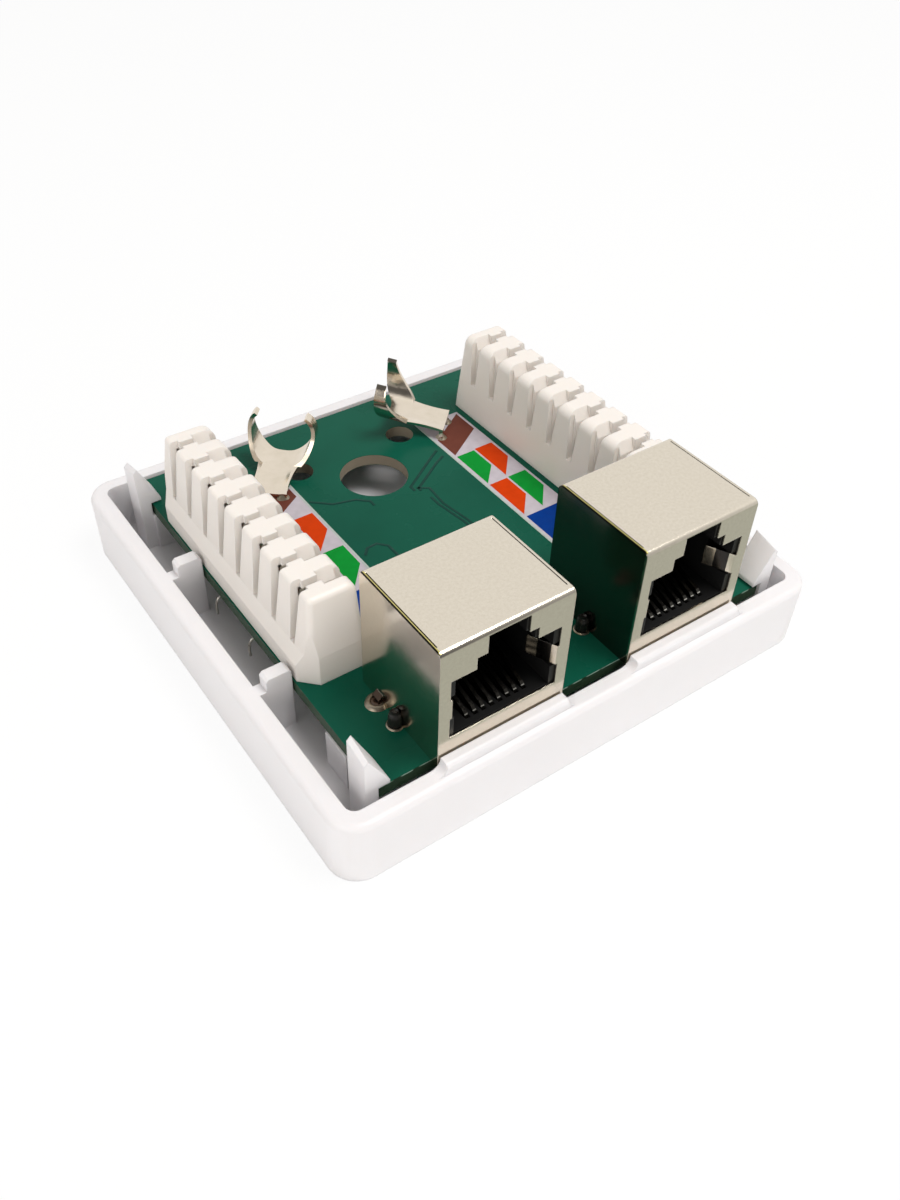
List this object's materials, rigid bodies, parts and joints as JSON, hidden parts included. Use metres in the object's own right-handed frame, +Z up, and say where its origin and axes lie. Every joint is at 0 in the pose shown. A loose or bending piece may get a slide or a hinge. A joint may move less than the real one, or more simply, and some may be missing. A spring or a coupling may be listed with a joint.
{
  "type": "surface mount jack box",
  "caption": "Open wall box for network cabling: white tray, green circuit board, shielded jacks in front, wire terminals at the sides and forked shield clamps behind.",
  "frame": {"origin": "middle of the tray's underside", "axes": "+X to the right along the front edge, -Y out of the jacks' mouths, +Z up away from the wall"},
  "size_m": [0.0658, 0.0646, 0.0246],
  "materials": {
    "tray_plastic": "satin moulded",
    "terminal_plastic": "satin moulded",
    "solder_mask": "glossy green solder mask",
    "tinned_shield": "tin plated, fine grain",
    "black_plastic": "matt moulded",
    "contact_wire": "gold plated",
    "tinned_contact": "tin plated",
    "tinned_clamp": "bright tin plate"
  },
  "bodies": {
    "root": {"base_tray": "tray_plastic", "circuit_board": "solder_mask", "left_contact_comb": "black_plastic", "left_jack_contact_1": "contact_wire", "left_jack_contact_2": "contact_wire", "left_jack_contact_3": "contact_wire", "left_jack_contact_4": "contact_wire", "left_jack_contact_5": "contact_wire", "left_jack_contact_6": "contact_wire", "left_jack_contact_7": "contact_wire", "left_jack_contact_8": "contact_wire", "left_jack_housing": "black_plastic", "left_jack_shield": "tinned_shield", "left_shield_clamp": "tinned_clamp", "left_terminal_block": "terminal_plastic", "left_terminal_contact_1": "tinned_contact", "left_terminal_contact_2": "tinned_contact", "left_terminal_contact_3": "tinned_contact", "left_terminal_contact_4": "tinned_contact", "left_terminal_contact_5": "tinned_contact", "left_terminal_contact_6": "tinned_contact", "left_terminal_contact_7": "tinned_contact", "left_terminal_contact_8": "tinned_contact", "right_contact_comb": "black_plastic", "right_jack_contact_1": "contact_wire", "right_jack_contact_2": "contact_wire", "right_jack_contact_3": "contact_wire", "right_jack_contact_4": "contact_wire", "right_jack_contact_5": "contact_wire", "right_jack_contact_6": "contact_wire", "right_jack_contact_7": "contact_wire", "right_jack_contact_8": "contact_wire", "right_jack_housing": "black_plastic", "right_jack_shield": "tinned_shield", "right_shield_clamp": "tinned_clamp", "right_terminal_block": "terminal_plastic", "right_terminal_contact_1": "tinned_contact", "right_terminal_contact_2": "tinned_contact", "right_terminal_contact_3": "tinned_contact", "right_terminal_contact_4": "tinned_contact", "right_terminal_contact_5": "tinned_contact", "right_terminal_contact_6": "tinned_contact", "right_terminal_contact_7": "tinned_contact", "right_terminal_contact_8": "tinned_contact"}
  },
  "joints": []
}
